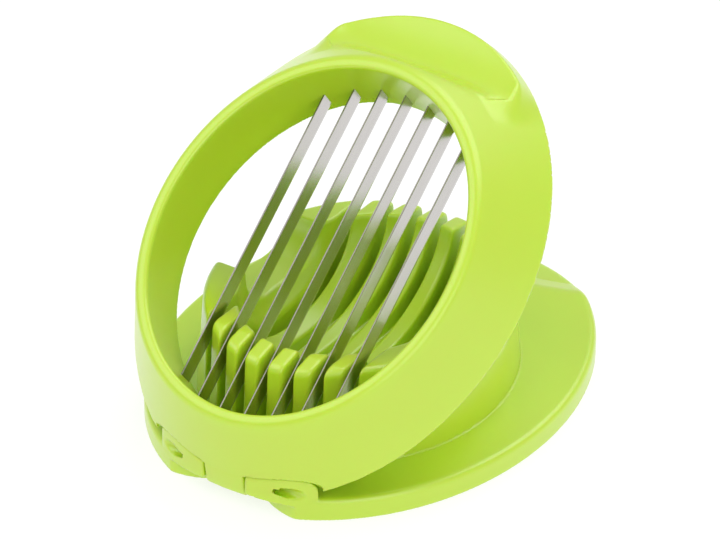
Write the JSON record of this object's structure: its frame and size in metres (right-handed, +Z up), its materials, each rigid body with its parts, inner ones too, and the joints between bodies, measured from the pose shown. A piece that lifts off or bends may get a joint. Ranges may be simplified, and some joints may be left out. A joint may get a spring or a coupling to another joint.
{
  "type": "egg slicer",
  "caption": "Hinged hand egg slicer: an oval base with a slotted cradle for the egg, and a ring frame strung with flat steel blades that swings down through the slots.",
  "frame": {"origin": "on the table, under the middle of the frame's opening when the slicer is closed", "axes": "+Z up, +Y towards the thumb tab and away from the hinge, X along the hinge axis"},
  "size_m": [0.085, 0.1097, 0.0705],
  "materials": {
    "plastic": "glossy lime green",
    "steel": "brushed"
  },
  "bodies": {
    "base": {"base": "plastic"},
    "frame": {"frame": "plastic", "blade_1": "steel", "blade_2": "steel", "blade_3": "steel", "blade_4": "steel", "blade_5": "steel", "blade_6": "steel", "blade_7": "steel"}
  },
  "joints": [
    {"name": "frame_hinge", "type": "hinge", "parent": "base", "child": "frame", "pos_m": [0, -0.0455, 0.0062], "axis": [1, 0, 0], "range_deg": [-37, 58]}
  ]
}
